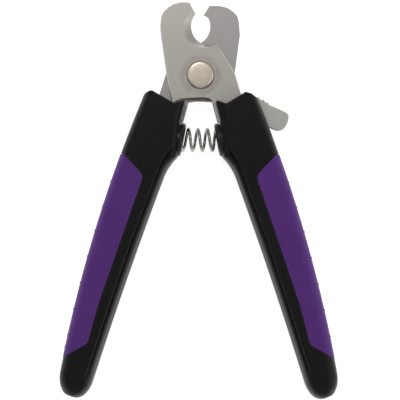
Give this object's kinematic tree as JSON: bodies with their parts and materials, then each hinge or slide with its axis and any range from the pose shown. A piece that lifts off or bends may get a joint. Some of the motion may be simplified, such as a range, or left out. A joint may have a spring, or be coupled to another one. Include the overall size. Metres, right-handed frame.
{
  "type": "scissor nail clipper",
  "caption": "Pliers-style pet nail clipper with hooked bypass blades, a return spring between soft-grip handles and a side lock lever.",
  "frame": {"origin": "middle of the underside: centred left to right and end to end, with the backs of the handles on Z = 0", "axes": "+Y from the handles to the jaws, +Z through the thickness towards the front face, +X towards the handle with the lock lever"},
  "size_m": [0.1166, 0.1664, 0.016],
  "materials": {
    "front_blade_steel": "fine brushed, warm grey stainless",
    "rear_blade_steel": "fine brushed, slightly cooler grey stainless",
    "pivot_steel": "turned, bright warm steel",
    "spring_wire": "drawn spring wire",
    "zinc_plate": "zinc plated",
    "black_plastic": "hard moulded, satin",
    "purple_grip": "soft touch, matt"
  },
  "bodies": {
    "left_half": {"rear_blade": "rear_blade_steel", "left_front_shell": "black_plastic", "left_rear_shell": "black_plastic", "left_grip": "purple_grip", "left_spring_seat": "black_plastic", "left_upper_screw": "zinc_plate", "left_middle_screw": "zinc_plate", "left_lower_screw": "zinc_plate", "spring": "spring_wire", "pivot_bolt": "pivot_steel", "pivot_washer": "zinc_plate", "pivot_nut": "pivot_steel"},
    "right_half": {"front_blade": "front_blade_steel", "right_front_shell": "black_plastic", "right_rear_shell": "black_plastic", "right_grip": "purple_grip", "right_spring_seat": "black_plastic", "right_upper_screw": "zinc_plate", "right_middle_screw": "zinc_plate", "right_lower_screw": "zinc_plate", "lock_lever_pin": "zinc_plate"},
    "lock_lever": {"lock_lever": "front_blade_steel"}
  },
  "joints": [
    {"name": "main_pivot", "type": "hinge", "parent": "left_half", "child": "right_half", "pos_m": [0, 0.05251, 0.008], "axis": [0, 0, -1], "range_deg": [0, 26], "stiffness_Nm_per_rad": 0.5, "springref_deg": -20.05, "deforming": ["spring"]},
    {"name": "lock_pivot", "type": "hinge", "parent": "right_half", "child": "lock_lever", "pos_m": [0.02115, 0.04023, 0.008], "axis": [0, 0, -1], "range_deg": [0, 30]}
  ]
}
